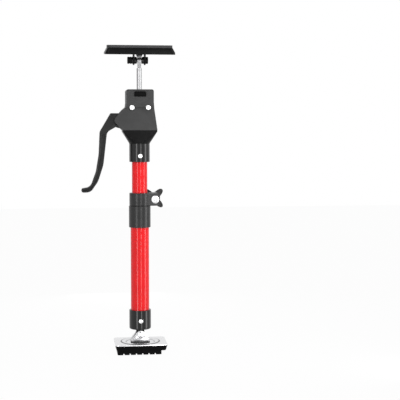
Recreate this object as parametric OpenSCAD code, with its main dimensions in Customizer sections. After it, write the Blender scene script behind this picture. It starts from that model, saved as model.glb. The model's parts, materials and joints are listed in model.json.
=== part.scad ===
// Telescopic support pole for boards and ceilings: a rubber foot on a tilting
// yoke, two telescoping tubes held by a split clamp with a star knob, a head
// with a pump lever that walks a rod upwards, and a padded plate that tilts on
// the rod's end. The origin is where the pole's axis meets the floor. The lever
// is on the -X side and the front faces -Y. Lengths are in millimetres.

/* [Foot] */
// Width of the foot plate, left to right
foot_w = 84; // [80:1:110]
// Depth of the foot plate, front to back
foot_d = 66; // [66:1:84]
// Corner radius of the foot plate
foot_corner_r = 6; // [5:0.5:9]
// Height of the tread block under the pad
tread_h = 6.5; // [3:0.5:8]
// How far the tread block stands in from the pad above it, left and right
tread_inset_w = 4.2; // [3.2:0.2:5]
// How far the tread block stands in from the pad above it, front and back
tread_inset_d = 0.6; // [0.2:0.2:3]
// How far the tread block sits off the pad's middle, to the left
tread_shift = 3; // [0:0.2:3]
// Grooves across the tread block
tread_grooves = 6; // [3:1:8]
// Width of a tread groove
groove_w = 2.2; // [1:0.2:3]
// Height of the flared body of the rubber pad
pad_body_h = 8.4; // [6:0.4:12]
// How much the pad's body draws in on each side, from top to bottom
pad_taper = 2.4; // [1:0.2:4]
// Thickness of the foot plate
foot_plate_t = 1.5; // [1:0.1:2]
// Outer radius of the pressed dish in the foot plate
dish_r = 31.6; // [28:0.2:32.6]
// Inner radius of the dish's raised bead
dish_inner_r = 23.4; // [18:0.2:24]
// Height of the dish's raised bead above the plate
dish_bead_h = 1.6; // [1:0.2:3]
// How far the middle of the dish is sunk below the plate
dish_sink = 0.8; // [0.6:0.1:2]

/* [Foot yoke] */
// Diameter of the washer under the yoke
yoke_washer_d = 31.5; // [30:0.5:35]
// Thickness of the washer under the yoke
yoke_washer_t = 2.5; // [1.5:0.1:4]
// Sheet thickness of the yoke
yoke_t = 2; // [1.5:0.1:3]
// Width of the yoke at its base
yoke_w = 30; // [27:0.5:30]
// Clear distance between the yoke's ears
yoke_gap = 16; // [15.4:0.2:17]
// Radius of the ears around the pivot pin
ear_r = 6.8; // [6:0.1:7.4]
// Height of the pivot above the yoke's base
pivot_rise = 8.2; // [7.6:0.1:11]
// Diameter of the pivot pin
pivot_d = 6; // [4:0.2:7]
// Diameter of the pivot pin's round heads
pivot_head_d = 10.4; // [9:0.2:12]
// Height of the pivot pin's round heads
pivot_head_t = 2.4; // [1.6:0.1:3]
// Diameter of the rivets that hold the yoke
yoke_rivet_d = 4; // [3:0.2:4.4]

/* [Swivel stem and end cap] */
// Diameter of the stem's neck
stem_d = 13.4; // [12.4:0.1:14.4]
// Width of the stem across its flats
stem_flat_w = 12.6; // [10:0.1:13]
// Diameter of the stem's shank through the cap
shank_d = 8; // [6:0.2:9]
// Height of the end cap's underside above the pivot
cap_rise = 9.1; // [9:0.1:14]
// Outer diameter of the end cap
cap_d = 35.3; // [34:0.1:40]
// Height of the end cap
cap_h = 31.4; // [26:0.2:40]
// Thickness of the end cap's floor
cap_floor_t = 4; // [3:0.2:6]
// Rounding of the end cap's lower edge
cap_round_r = 2.4; // [1:0.1:3]
// Height of the nut on the stem's shank
stem_nut_h = 4.6; // [3:0.1:5]

/* [Tubes] */
// Outer diameter of the lower tube
lower_tube_d = 30; // [29.6:0.1:31]
// Length of the lower tube
lower_tube_len = 194; // [180:1:260]
// Outer diameter of the upper tube
upper_tube_d = 25; // [24.6:0.1:25.4]
// Length of the upper tube
upper_tube_len = 236; // [225:1:240]
// Wall of both tubes
tube_wall = 1.2; // [1:0.05:1.4]
// How far the upper tube stands out between coupler and collar
tube_exposed = 50.2; // [20:0.2:56]

/* [Coupler and clamp] */
// Outer diameter of the coupler sleeve
sleeve_d = 35.1; // [34.4:0.1:38]
// Height of the coupler sleeve below the clamp
sleeve_h = 34.8; // [26:0.2:44]
// Height of the clamp ring and of the neck inside it
clamp_h = 20.4; // [16:0.2:26]
// Outer diameter of the clamp ring
clamp_d = 33.4; // [33:0.1:34.6]
// Wall of the coupler's slotted neck
neck_wall = 1.9; // [1.4:0.1:2.2]
// Distance from the pole's axis to the clamp bolt
clamp_bolt_x = 24.2; // [23.4:0.1:27]
// Thickness of the two clamp ears with the slit between them
clamp_ear_t = 24; // [22:0.2:26]
// Width of the slit between the clamp ears
clamp_slit = 2.4; // [1.4:0.1:3.4]
// Diameter of the clamp bolt
clamp_bolt_d = 6; // [5:0.2:7]
// Diameter of the clamp bolt's round head
bolt_head_d = 12.6; // [10:0.2:14]
// Height of the clamp bolt's round head
bolt_head_t = 3.4; // [2:0.1:4.4]
// Height of the guide bush in the mouth of the lower tube
guide_bush_h = 11; // [8:0.5:14]

/* [Star knob] */
// Radius of the star knob over its lobes
knob_r = 20.4; // [16:0.2:21]
// Radius of the star knob between its lobes
knob_waist_r = 9.6; // [8.6:0.1:12]
// Lobes of the star knob
knob_lobes = 4; // [3:1:7]
// Thickness of the star
knob_t = 8; // [5:0.2:11]
// Length of the hub between the clamp and the star
knob_hub_t = 5; // [4.8:0.1:8]
// Diameter of the hub
knob_hub_d = 15; // [13.4:0.2:17]
// Diameter of the threaded insert
knob_insert_d = 9.6; // [8.6:0.1:11]

/* [Head] */
// Height of the collar around the upper tube
collar_h = 29.9; // [24:0.1:40]
// Outer diameter of the collar
collar_d = 33.2; // [31:0.1:36]
// Height of the funnel between collar and covers
funnel_h = 21.1; // [20:0.1:30]
// Width of the head where the covers meet the funnel
head_base_w = 55.6; // [55:0.2:60]
// Width of the head at its top
head_w = 43.6; // [43:0.2:48]
// Height of the covers
head_h = 65; // [64.4:0.1:70]
// Depth of the lower part of the covers, front to back
head_low_d = 36; // [35:0.5:38]
// Depth of the upper part of the covers, front to back
head_top_d = 42; // [41:0.5:46]
// Reach of the nose that covers the lever's pivot
nose_reach = 42.2; // [41:0.1:44]
// Wall of the covers
cover_wall = 2; // [1.4:0.1:2.2]
// Rounding of the head's upper corners
head_round_r = 3; // [1:0.2:4]
// Distance between the two cover rivets
cover_rivet_span = 26; // [25.4:0.1:28]
// Width of the slot for the release tab
tab_slot_w = 18.6; // [18:0.2:24]
// Thickness of the cheeks that carry the lever
cheek_t = 3; // [2:0.1:4]

/* [Lever] */
// Reach of the lever from its pivot to the outside of its tip
lever_reach = 61.8; // [56:0.2:66]
// Drop of the lever from its pivot to the middle of its tip
lever_drop = 111.5; // [106:0.5:130]
// Width of the lever, front to back
lever_w = 15; // [12:0.2:15.4]
// Radius of the lever's hub
lever_hub_r = 11.9; // [10:0.1:12]
// Depth of the hollow along each side of the lever
lever_hollow = 4; // [2:0.2:5]
// Distance from the pole's axis to the lever's pivot
lever_pivot_x = 32; // [31.6:0.1:33]
// Diameter of the lever's pin
lever_pin_d = 6; // [4:0.2:7]

/* [Rod and friction plates] */
// Diameter of the rod
rod_d = 8.4; // [7.4:0.1:8.8]
// Free length of the rod from the head to the tilt bolt
rod_exposed = 46.9; // [46.2:0.1:60]
// Thickness of the flattened eye at the rod's top
eye_t = 6; // [5:0.1:7]
// Radius of the eye at the rod's top
eye_r = 5.3; // [5:0.1:5.6]
// Thickness of the drive plate
drive_plate_t = 3; // [2:0.1:3.4]
// Thickness of the lock plate
lock_plate_t = 2.2; // [1.6:0.1:2.4]
// Wire of the drive spring
drive_wire = 1.6; // [1:0.1:1.8]
// Wire of the lock spring
lock_wire = 0.9; // [0.6:0.1:1]

/* [Top plate] */
// Width of the pressed top plate at its rim
plate_w = 111; // [90:1:160]
// Depth of the pressed top plate at its rim
plate_d = 66; // [58:1:96]
// Height of the plate's skirt
skirt_h = 10.2; // [9.4:0.1:13]
// How far the skirt flares outwards on each side
skirt_flare = 3.7; // [2:0.1:6]
// Height of the upright lip at the skirt's rim
lip_h = 3; // [1:0.2:4]
// Sheet thickness of the top plate
top_sheet_t = 1.5; // [1:0.1:2]
// Corner radius of the top plate at its rim
plate_corner_r = 7; // [6:0.5:12]
// Thickness of the pad on top
top_pad_t = 4.5; // [3:0.1:8]
// Height of the plate's rim above the tilt bolt
rim_rise = 9.4; // [9:0.1:13]
// Lean of the top plate, its front edge down, in degrees
plate_lean = 4; // [-10:0.5:10]

/* [Tilt bracket] */
// Clear distance between the bracket's ears
bracket_gap = 15.4; // [14:0.1:16]
// Sheet thickness of the bracket
bracket_t = 2.5; // [2:0.1:2.6]
// Depth of the bracket's ears, front to back
bracket_d = 15; // [13:0.2:18]
// Diameter of the tilt bolt
tilt_bolt_d = 6; // [5:0.1:6.4]
// Diameter of the bushes, nuts and bolt head on the tilt axis
tilt_head_d = 11.3; // [10.4:0.1:12]
// Thickness of each tilt nut
tilt_nut_t = 3.6; // [3:0.1:5]
// Thickness of the tilt bolt's head
tilt_bolt_head_t = 4; // [3:0.1:6]
// Thickness of the washer under the nuts
tilt_washer_t = 1.6; // [1:0.1:3]

/* [Hidden] */

// Facets of a round face, and of the rounded corners of a hull
round_fn = 64;
hull_fn = 32;
$fn = round_fn;
// Steps along a rounded corner of an outline
corner_steps = 6;

// Overrun of every cut past the face that it opens
over = 1;
// Radial gap of a shaft that turns or slides in its bush
run_gap = 0.06;
// Radial gap of a piece that is pressed or glued in its seat
seat_gap = 0.03;
// Gap between faces of pieces that move past each other
free_gap = 0.4;
// Gap between two faces that rest on each other through a thin seam
seam_gap = 0.1;
// Radial gap between the rod and the edges of a friction plate's hole
bite_gap = 0.5;

// Rivets of the end cap and the collar
wall_rivet_d = 4;
wall_rivet_head_d = 6.6;
wall_rivet_head_t = 1.3;
cap_rivet_rise = 14.5;
collar_rivet_rise = 9.7;

// Levels of the foot, from the floor up
z_pad_top = tread_h + pad_body_h;
z_foot_plate = z_pad_top + foot_plate_t;
z_dish = z_foot_plate - dish_sink;
z_yoke = z_dish + yoke_washer_t;
z_pivot = z_yoke + yoke_t + pivot_rise;

// Levels of the lower pole
z_cap = z_pivot + cap_rise;
z_tube = z_cap + cap_floor_t + free_gap;
z_tube_top = z_tube + lower_tube_len;
bush_flange_t = 1.6;
shoulder_t = 0.5 * neck_wall;
z_shoulder = z_tube_top + bush_flange_t + seam_gap;
z_sleeve_top = z_shoulder + shoulder_t;
z_sleeve = z_sleeve_top - sleeve_h;
z_clamp = z_sleeve_top + free_gap;
z_clamp_top = z_clamp + clamp_h;
z_clamp_mid = z_clamp + clamp_h / 2;

// Levels of the head
z_collar = z_clamp_top + tube_exposed;
z_collar_top = z_collar + collar_h;
z_head = z_collar_top + funnel_h;
z_head_top = z_head + head_h;
socket_floor_t = 1.6;
z_upper_tube_top = z_collar_top - socket_floor_t;
z_upper_tube = z_upper_tube_top - upper_tube_len;

// Levels of the top plate
z_tilt = z_head_top + rod_exposed;
z_rim = z_tilt + rim_rise;
z_deck = z_rim + skirt_h;
z_deck_under = z_deck - top_sheet_t;
z_bracket = z_deck_under - bracket_t;
z_top = z_deck + top_pad_t;

// Radii of the tubes and what slides in them
lower_tube_r = lower_tube_d / 2;
lower_bore_r = lower_tube_r - tube_wall;
upper_tube_r = upper_tube_d / 2;
upper_bore_r = upper_tube_r - tube_wall;
rod_r = rod_d / 2;

// The unit vector along v
function unit(v) = v / norm(v);

// The arc that rounds corner b between its neighbours a and c
function corner_arc(a, b, c, r) =
    let (u = unit(a - b), v = unit(c - b), half = acos(u * v) / 2,
         centre = b + unit(u + v) * r / sin(half),
         p = b + u * r / tan(half) - centre,
         q = b + v * r / tan(half) - centre,
         start = atan2(p.y, p.x),
         turn = (atan2(q.y, q.x) - start + 540) % 360 - 180)
    [for (i = [0:corner_steps]) let (angle = start + turn * i / corner_steps)
        centre + r * [cos(angle), sin(angle)]];

// An outline whose corners, each given as [x, y, radius], are rounded
function rounded(corners) =
    let (n = len(corners))
    [for (i = [0:n - 1])
        let (a = corners[(i + n - 1) % n], b = corners[i], c = corners[(i + 1) % n],
             here = [b.x, b.y])
        each (b.z > 0 ? corner_arc([a.x, a.y], here, [c.x, c.y], b.z) : [here])];

// The outward normal of the edge from a to b of an anticlockwise outline
function edge_normal(a, b) = unit([b.y - a.y, a.x - b.x]);

// The same anticlockwise corners, moved inwards by t
function inset(corners, t) =
    let (n = len(corners))
    [for (i = [0:n - 1])
        let (a = corners[(i + n - 1) % n], b = corners[i], c = corners[(i + 1) % n],
             before = edge_normal(a, b), after = edge_normal(b, c),
             move = (before + after) * t / (1 + before * after),
             convex = before.x * after.y - before.y * after.x > 0)
        [b.x - move.x, b.y - move.y,
         b.z == 0 ? 0 : max(convex ? b.z - t : b.z + t, t / 4)]];

// The outline of a bent sheet: a path and the same path moved aside by t
function bent_sheet(path, t) =
    let (n = len(path),
         normals = [for (i = [0:n - 2]) edge_normal(path[i], path[i + 1])],
         moved = [for (i = [0:n - 1])
             let (before = normals[max(i - 1, 0)], after = normals[min(i, n - 2)])
             path[i] + (before + after) * t / (1 + before * after)])
    concat(path, [for (i = [n - 1:-1:0]) moved[i]]);

// An upright tube from level z
module tube(r, bore, z, h) {
    translate([0, 0, z]) difference() {
        cylinder(r = r, h = h);
        translate([0, 0, -over]) cylinder(r = bore, h = h + 2 * over);
    }
}

// A cylinder along X, from x = 0 to x = len
module rod_x(r, len) {
    rotate([0, 90, 0]) cylinder(r = r, h = len);
}

// A cylinder along Y, from y = 0 back to y = len
module rod_y(r, len) {
    rotate([-90, 0, 0]) cylinder(r = r, h = len);
}

// A flat outline with round corners, centred on the origin
module rounded_rect(w, d, r) {
    square([w, d - 2 * r], center = true);
    square([w - 2 * r, d], center = true);
    for (x = [-1, 1], y = [-1, 1])
        translate([x * (w / 2 - r), y * (d / 2 - r)]) circle(r = r);
}

// An upright slab with round corners
module slab(w, d, r, z, h) {
    translate([0, 0, z]) linear_extrude(h) rounded_rect(w, d, r);
}

// A slab whose sides slope: drawn in by taper on each side at its lower end
module flared_slab(w, d, r, z, h, taper) {
    edge = min(h, r) / 20;
    hull() {
        translate([0, 0, z]) linear_extrude(edge)
            rounded_rect(w - 2 * taper, d - 2 * taper, r - taper / 2, $fn = hull_fn);
        translate([0, 0, z + h - edge]) linear_extrude(edge)
            rounded_rect(w, d, r, $fn = hull_fn);
    }
}

// A front view outline in X and Z, thickened from y = back to y = front
module plate_y(front, back) {
    translate([0, back, 0]) rotate([90, 0, 0]) linear_extrude(back - front) children();
}

// A side view outline in Y and Z, thickened from x = left to x = right
module plate_x(left, right) {
    translate([left, 0, 0]) rotate([90, 0, 90]) linear_extrude(right - left) children();
}

// The domed head of a rivet or bolt on a flat face, its dome upwards
dome_steps = 10;
module dome_head(d, t) {
    edge = t / 4;
    sphere_r = (d * d / 4 + (t - edge) * (t - edge)) / (2 * (t - edge));
    half = asin(d / 2 / sphere_r);
    dome = [for (i = [0:dome_steps]) let (angle = half * (1 - i / dome_steps))
        [i == dome_steps ? 0 : sphere_r * sin(angle), t - sphere_r * (1 - cos(angle))]];
    rotate_extrude() polygon(concat([[0, 0], [d / 2, 0]], dome));
}

// A rivet in a round wall that faces -Y. Its shank stays clear of the bore, in
// which the next tube or the rod's guide slides.
module wall_rivet(outer, bore_r, z) {
    translate([0, -outer, z]) rotate([90, 0, 0]) dome_head(wall_rivet_head_d, wall_rivet_head_t);
    translate([0, -outer, z]) rod_y(wall_rivet_d / 2, outer - bore_r - free_gap);
}

// A hexagonal nut along Z with chamfered corners
module hex_nut(d, h, bore) {
    difference() {
        intersection() {
            cylinder(d = d, h = h, $fn = 6);
            chamfer = h / 5;
            rotate_extrude() polygon([[0, 0], [d / 2 - chamfer, 0], [d / 2, chamfer],
                [d / 2, h - chamfer], [d / 2 - chamfer, h], [0, h]]);
        }
        translate([0, 0, -over]) cylinder(d = bore, h = h + 2 * over);
    }
}

// A coil spring along Z from level z, as one swept tube of six sides
spring_steps = 12;
spring_sides = 6;
module coil_spring(mean_r, wire, z, h, turns) {
    rings = turns * spring_steps;
    rise = h - wire;
    points = [for (i = [0:rings]) let (turn = i * 360 / spring_steps)
        for (k = [0:spring_sides - 1]) let (around = k * 360 / spring_sides,
            r = mean_r + wire / 2 * cos(around),
            up = z + wire / 2 + rise * i / rings + wire / 2 * sin(around))
            [r * cos(turn), r * sin(turn), up]];
    last = rings * spring_sides;
    sides = [for (i = [0:rings - 1], k = [0:spring_sides - 1])
        let (a = i * spring_sides, b = a + spring_sides, next = (k + 1) % spring_sides)
        each [[a + k, a + next, b + next], [a + k, b + next, b + k]]];
    start = [for (k = [1:spring_sides - 2]) [0, k + 1, k]];
    end = [for (k = [1:spring_sides - 2]) [last, last + k, last + k + 1]];
    polyhedron(points, concat(sides, start, end), convexity = 10);
}

// Foot

tread_w = foot_w - 2 * (pad_taper + tread_inset_w);
tread_d = foot_d - 2 * (pad_taper + tread_inset_d);
tread_corner_r = foot_corner_r / 2;
groove_pitch = tread_w / (tread_grooves + 1);
groove_h = 0.32 * tread_h;

// Height of the dish's top surface above the plate, t going from its inner to its outer edge
function dish_height(t) = dish_bead_h * pow(sin(180 * t), 2) - dish_sink * (1 - t);
dish_steps = 12;

module foot_pad() {
    color([0.05, 0.05, 0.05]) difference() {
        union() {
            translate([-tread_shift, 0, 0])
                slab(tread_w, tread_d, tread_corner_r, 0, tread_h + over);
            flared_slab(foot_w, foot_d, foot_corner_r, tread_h, pad_body_h, pad_taper);
        }
        // Room for the sunk middle of the plate and the rivets under it
        translate([0, 0, z_pad_top - dish_sink - seam_gap])
            cylinder(r1 = dish_inner_r + free_gap, r2 = dish_r, h = dish_sink + seam_gap);
        translate([0, 0, z_pad_top]) cylinder(r = dish_r, h = over);
        for (x = [-1, 1]) translate([x * yoke_rivet_x, 0, z_yoke_rivet - free_gap])
            cylinder(d = yoke_rivet_head_d + 2 * free_gap, h = pad_body_h);
        for (i = [0:tread_grooves - 1])
            translate([(i + 0.5 - tread_grooves / 2) * groove_pitch - groove_w / 2 - tread_shift,
                       -foot_d / 2, -over])
                cube([groove_w, foot_d, groove_h + over]);
    }
}

module foot_plate() {
    ring = dish_r - dish_inner_r;
    top = [for (i = [0:dish_steps])
        [dish_inner_r + ring * i / dish_steps, dish_height(i / dish_steps)]];
    under = [for (i = [dish_steps:-1:0]) [top[i].x, top[i].y - foot_plate_t]];
    color([0.8, 0.8, 0.82]) difference() {
        union() {
            difference() {
                slab(foot_w, foot_d, foot_corner_r, z_pad_top, foot_plate_t);
                translate([0, 0, z_pad_top - over])
                    cylinder(r = dish_r, h = foot_plate_t + 2 * over);
            }
            translate([0, 0, z_foot_plate]) rotate_extrude()
                polygon(concat([[0, -dish_sink - foot_plate_t], [0, -dish_sink]], top, under));
        }
        for (x = [-1, 1]) translate([x * yoke_rivet_x, 0, 0])
            cylinder(d = yoke_rivet_d + 2 * seat_gap, h = z_yoke);
    }
}

// Yoke, with its rivets and the pin that the pole tilts on

yoke_rivet_x = 0.34 * yoke_w;
yoke_rivet_head_d = 1.5 * yoke_rivet_d;
yoke_rivet_head_t = 0.35 * yoke_rivet_d;
z_yoke_rivet = z_dish - foot_plate_t - yoke_rivet_head_t;
yoke_out = yoke_gap / 2 + yoke_t;

module yoke_washer() {
    color([0.06, 0.06, 0.06]) difference() {
        translate([0, 0, z_dish]) cylinder(d = yoke_washer_d, h = yoke_washer_t);
        for (x = [-1, 1]) translate([x * yoke_rivet_x, 0, z_dish - over])
            cylinder(d = yoke_rivet_d + 2 * seat_gap, h = yoke_washer_t + 2 * over);
    }
}

// Front view of an ear: its round top runs out in straight flanks to the base
module ear_outline() {
    rise = z_pivot - z_yoke;
    half = yoke_w / 2;
    reach = norm([half, rise]);
    lean = atan2(half, rise) + acos(ear_r / reach) - 90;
    touch = [ear_r * cos(lean), ear_r * sin(lean)];
    translate([0, z_pivot]) {
        circle(r = ear_r);
        polygon([[-half, -rise], [half, -rise], [half, yoke_t - rise], touch,
            [-touch.x, touch.y], [-half, yoke_t - rise]]);
    }
}

module foot_yoke() {
    section = bent_sheet([[-yoke_out, z_pivot + ear_r + over], [-yoke_out, z_yoke],
        [yoke_out, z_yoke], [yoke_out, z_pivot + ear_r + over]], -yoke_t);
    color([0.82, 0.82, 0.84]) difference() {
        intersection() {
            plate_x(-yoke_w / 2, yoke_w / 2) polygon(section);
            plate_y(-yoke_out, yoke_out) ear_outline();
        }
        translate([0, -yoke_out - over, z_pivot])
            rod_y(pivot_d / 2 + seat_gap, 2 * yoke_out + 2 * over);
        for (x = [-1, 1]) translate([x * yoke_rivet_x, 0, z_yoke - over])
            cylinder(d = yoke_rivet_d + 2 * seat_gap, h = yoke_t + 2 * over);
    }
}

module yoke_rivets() {
    color([0.7, 0.7, 0.72]) for (x = [-1, 1]) translate([x * yoke_rivet_x, 0, 0]) {
        translate([0, 0, z_yoke_rivet]) cylinder(d = yoke_rivet_head_d, h = yoke_rivet_head_t);
        translate([0, 0, z_yoke_rivet]) cylinder(d = yoke_rivet_d, h = z_yoke + yoke_t - z_yoke_rivet);
        translate([0, 0, z_yoke + yoke_t]) dome_head(yoke_rivet_head_d, yoke_rivet_head_t);
    }
}

module pivot_pin() {
    color([0.85, 0.85, 0.87]) translate([0, 0, z_pivot]) {
        translate([0, -yoke_out, 0]) rod_y(pivot_d / 2, 2 * yoke_out);
        for (turn = [0, 180]) rotate([0, 0, turn]) translate([0, -yoke_out, 0])
            rotate([90, 0, 0]) dome_head(pivot_head_d, pivot_head_t);
    }
}

module pivot_washers() {
    washer_t = (yoke_gap - stem_flat_w) / 2 - free_gap - seam_gap;
    color([0.6, 0.6, 0.62]) for (turn = [0, 180]) rotate([0, 0, turn])
        translate([0, -yoke_gap / 2 + seam_gap, z_pivot]) difference() {
            rod_y(pivot_head_d / 2, washer_t);
            translate([0, -over, 0]) rod_y(pivot_d / 2 + seat_gap, washer_t + 2 * over);
        }
}

// Stem that tilts in the yoke and on which the pole swivels

stem_r = stem_d / 2;
z_stem_shoulder = z_cap - free_gap;
stem_washer_t = cap_floor_t / 3;
z_stem_washer = z_cap + cap_floor_t + free_gap;
z_stem_nut = z_stem_washer + stem_washer_t;

module swivel_stem() {
    shank_h = z_stem_nut + stem_nut_h + shank_d / 8 - z_stem_shoulder;
    neck_h = z_stem_shoulder - z_pivot;
    color([0.12, 0.12, 0.12]) difference() {
        union() {
            intersection() {
                union() {
                    translate([0, 0, z_pivot]) sphere(r = stem_r);
                    translate([0, 0, z_pivot]) cylinder(r = stem_r, h = neck_h);
                }
                translate([-stem_d, -stem_flat_w / 2, z_pivot - stem_d])
                    cube([2 * stem_d, stem_flat_w, stem_d + neck_h]);
            }
            translate([0, 0, z_stem_shoulder]) cylinder(d = shank_d, h = shank_h);
        }
        translate([0, -stem_d, z_pivot]) rod_y(pivot_d / 2 + run_gap, 2 * stem_d);
    }
}

module stem_washer() {
    color([0.75, 0.75, 0.77])
        tube(0.9 * shank_d, shank_d / 2 + seat_gap, z_stem_washer, stem_washer_t);
}

module stem_nut() {
    color([0.7, 0.7, 0.72]) translate([0, 0, z_stem_nut])
        hex_nut(1.75 * shank_d, stem_nut_h, shank_d + 2 * seat_gap);
}

// End cap and lower tube

cap_r = cap_d / 2;
cap_bore_r = lower_tube_r + seat_gap;
z_cap_rivet = z_cap + cap_rivet_rise;

// Holes for the wall rivets at the front and the back
module wall_rivet_holes(z) {
    translate([0, -cap_r - over, z]) rod_y(wall_rivet_d / 2 + seat_gap, 2 * (cap_r + over));
}

module end_cap() {
    rim = cap_round_r / 4;
    profile = rounded([[shank_d / 2 + run_gap, z_cap, 0], [cap_r, z_cap, cap_round_r],
        [cap_r, z_cap + cap_h, rim], [cap_bore_r, z_cap + cap_h, 0],
        [cap_bore_r, z_cap + cap_floor_t, 0], [shank_d / 2 + run_gap, z_cap + cap_floor_t, 0]]);
    color([0.07, 0.07, 0.07]) difference() {
        rotate_extrude() polygon(profile);
        wall_rivet_holes(z_cap_rivet);
    }
}

module end_cap_rivets() {
    color([0.9, 0.9, 0.9]) for (turn = [0, 180]) rotate([0, 0, turn])
        wall_rivet(cap_r, lower_bore_r, z_cap_rivet);
}

module lower_tube() {
    color([0.86, 0.08, 0.1]) difference() {
        tube(lower_tube_r, lower_bore_r, z_tube, lower_tube_len);
        wall_rivet_holes(z_cap_rivet);
    }
}

// Coupler: a sleeve on the lower tube, its slotted neck and the clamp around the neck

sleeve_r = sleeve_d / 2;
neck_bore_r = upper_tube_r + run_gap;
neck_r = neck_bore_r + neck_wall;
clamp_r = clamp_d / 2;
clamp_bore_r = neck_r + seat_gap;
clamp_ear_x = clamp_bolt_x + bolt_head_d / 2 + clamp_bolt_d / 4;
neck_slots = 4;

module coupler_sleeve() {
    round_r = neck_wall / 3;
    profile = rounded([[cap_bore_r, z_sleeve, 0], [sleeve_r, z_sleeve, round_r],
        [sleeve_r, z_sleeve_top, round_r], [neck_r, z_sleeve_top, 0], [neck_r, z_clamp_top, 0],
        [neck_bore_r, z_clamp_top, 0], [neck_bore_r, z_shoulder, 0], [cap_bore_r, z_shoulder, 0]]);
    color([0.12, 0.12, 0.12]) difference() {
        rotate_extrude() polygon(profile);
        for (i = [0:neck_slots - 1]) rotate([0, 0, i * 360 / neck_slots])
            translate([0, -clamp_slit / 2, z_clamp + clamp_h / 8])
                cube([sleeve_r, clamp_slit, clamp_h]);
    }
}

module guide_bush() {
    profile = [[neck_bore_r, z_tube_top - guide_bush_h],
        [lower_bore_r - seat_gap, z_tube_top - guide_bush_h], [lower_bore_r - seat_gap, z_tube_top],
        [lower_tube_r, z_tube_top], [lower_tube_r, z_tube_top + bush_flange_t],
        [neck_bore_r, z_tube_top + bush_flange_t]];
    color([0.85, 0.85, 0.8]) rotate_extrude() polygon(profile);
}

module clamp_ring() {
    ear_round = clamp_h / 4;
    color([0.1, 0.1, 0.1]) difference() {
        union() {
            translate([0, 0, z_clamp]) cylinder(r = clamp_r, h = clamp_h);
            plate_y(-clamp_ear_t / 2, clamp_ear_t / 2) polygon(rounded([
                [0, z_clamp, 0], [clamp_ear_x, z_clamp, ear_round],
                [clamp_ear_x, z_clamp_top, ear_round], [0, z_clamp_top, 0]]));
        }
        translate([0, 0, z_clamp - over]) cylinder(r = clamp_bore_r, h = clamp_h + 2 * over);
        translate([0, -clamp_slit / 2, z_clamp - over])
            cube([clamp_ear_x + over, clamp_slit, clamp_h + 2 * over]);
        translate([clamp_bolt_x, -clamp_ear_t, z_clamp_mid])
            rod_y(clamp_bolt_d / 2 + seat_gap, 2 * clamp_ear_t);
    }
}

clamp_washer_t = 1.2;
y_washer = clamp_ear_t / 2;
y_knob = y_washer + clamp_washer_t + free_gap;
y_star = y_knob + knob_hub_t;

module clamp_bolt() {
    color([0.88, 0.88, 0.9]) translate([clamp_bolt_x, -clamp_ear_t / 2, z_clamp_mid]) {
        rotate([90, 0, 0]) dome_head(bolt_head_d, bolt_head_t);
        rod_y(clamp_bolt_d / 2, clamp_ear_t / 2 + y_star + knob_t / 2);
    }
}

module clamp_washer() {
    color([0.75, 0.75, 0.77]) translate([clamp_bolt_x, y_washer, z_clamp_mid]) difference() {
        rod_y(knob_hub_d / 2, clamp_washer_t);
        translate([0, -over, 0]) rod_y(clamp_bolt_d / 2 + seat_gap, clamp_washer_t + 2 * over);
    }
}

// Star knob behind the clamp ears

// Radius of the star's edge at an angle: narrow lobes with wide hollows between
lobe_sharpness_share = 1.7;
function star_radius(angle) = knob_waist_r + (knob_r - knob_waist_r)
    * pow((1 + cos(knob_lobes * (angle - 180 / knob_lobes))) / 2, lobe_sharpness_share);
star_steps = 96;

module clamp_knob() {
    outline = [for (i = [0:star_steps - 1]) let (angle = i * 360 / star_steps)
        star_radius(angle) * [cos(angle), sin(angle)]];
    color([0.08, 0.08, 0.08]) translate([clamp_bolt_x, y_knob, z_clamp_mid])
        rotate([-90, 0, 0]) difference() {
            union() {
                cylinder(d = knob_hub_d, h = knob_hub_t + knob_t / 2);
                translate([0, 0, knob_hub_t]) linear_extrude(knob_t) polygon(outline);
            }
            translate([0, 0, -over])
                cylinder(d = knob_insert_d + 2 * seat_gap, h = knob_hub_t + 0.75 * knob_t + over);
        }
}

module knob_insert() {
    insert_h = knob_hub_t + 0.7 * knob_t;
    color([0.8, 0.68, 0.35]) translate([clamp_bolt_x, y_knob, z_clamp_mid]) difference() {
        rod_y(knob_insert_d / 2, insert_h);
        translate([0, -over, 0]) rod_y(clamp_bolt_d / 2 + run_gap, insert_h + 2 * over);
    }
}

// Upper tube with its sliding end

end_ring_h = 12;
end_plug_h = 14;
end_flange_t = 2;
clip_t = 1.2;

module tube_end_ring() {
    color([0.85, 0.85, 0.8])
        tube(lower_bore_r - run_gap, upper_tube_r + run_gap, z_upper_tube + free_gap, end_ring_h);
}

// Ring on the upper tube that keeps the sliding ring from moving up
module tube_end_clip() {
    color([0.7, 0.7, 0.72]) tube((upper_tube_r + lower_bore_r) / 2, upper_tube_r + seat_gap,
        z_upper_tube + end_ring_h + 2 * free_gap, clip_t);
}

module tube_end_plug() {
    flange_r = (upper_tube_r + lower_bore_r) / 2;
    color([0.1, 0.1, 0.1]) rotate_extrude() polygon([
        [upper_bore_r - tube_wall, z_upper_tube - end_flange_t],
        [flange_r, z_upper_tube - end_flange_t], [flange_r, z_upper_tube],
        [upper_bore_r - seat_gap, z_upper_tube],
        [upper_bore_r - seat_gap, z_upper_tube + end_plug_h],
        [upper_bore_r - tube_wall, z_upper_tube + end_plug_h]]);
}

z_collar_rivet = z_collar + collar_rivet_rise;

module upper_tube() {
    color([0.86, 0.08, 0.1]) difference() {
        tube(upper_tube_r, upper_bore_r, z_upper_tube, upper_tube_len);
        wall_rivet_holes(z_collar_rivet);
    }
}

// Head: socket with collar, funnel and cheeks

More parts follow.
